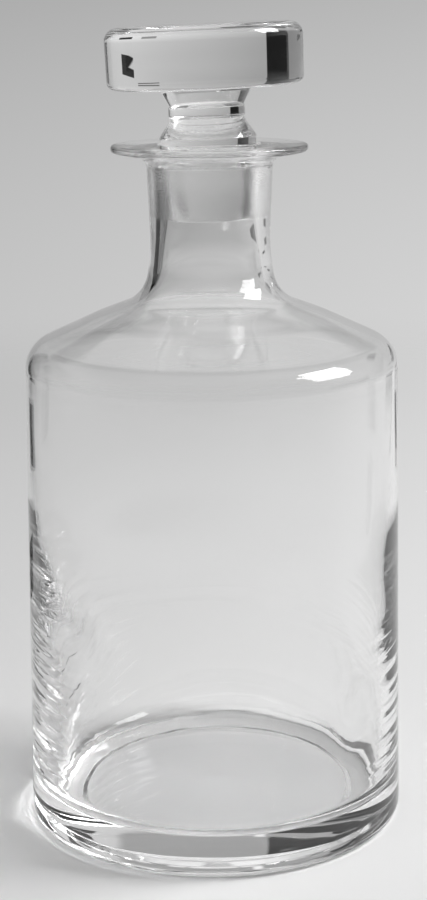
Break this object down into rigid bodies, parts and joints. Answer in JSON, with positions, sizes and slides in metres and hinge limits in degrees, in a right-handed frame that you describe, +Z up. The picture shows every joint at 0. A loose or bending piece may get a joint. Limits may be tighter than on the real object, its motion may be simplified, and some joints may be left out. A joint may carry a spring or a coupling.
{
  "type": "whisky decanter",
  "caption": "Clear glass decanter with a thick-based cylindrical body, sloping shoulders, a waisted neck with a flat pouring rim, and a solid lift-out disc stopper.",
  "frame": {"origin": "centre of the flat underside, at the height of the ring that it stands on", "axes": "+Z up along the bottle's axis, towards the stopper; +X to the right and +Y away, as seen from the front"},
  "size_m": [0.1, 0.1, 0.211],
  "materials": {
    "bottle_glass": "clear, fire polished, with soft ripples low on the inside of the wall",
    "stopper_glass": "clear, pressed and polished, with a ground plug"
  },
  "bodies": {
    "bottle": {"bottle": "bottle_glass"},
    "stopper": {"stopper": "stopper_glass"}
  },
  "joints": [
    {"name": "stopper_lift", "type": "slide", "parent": "bottle", "child": "stopper", "axis": [0, 0, 1], "range_m": [0, 0.045]}
  ]
}
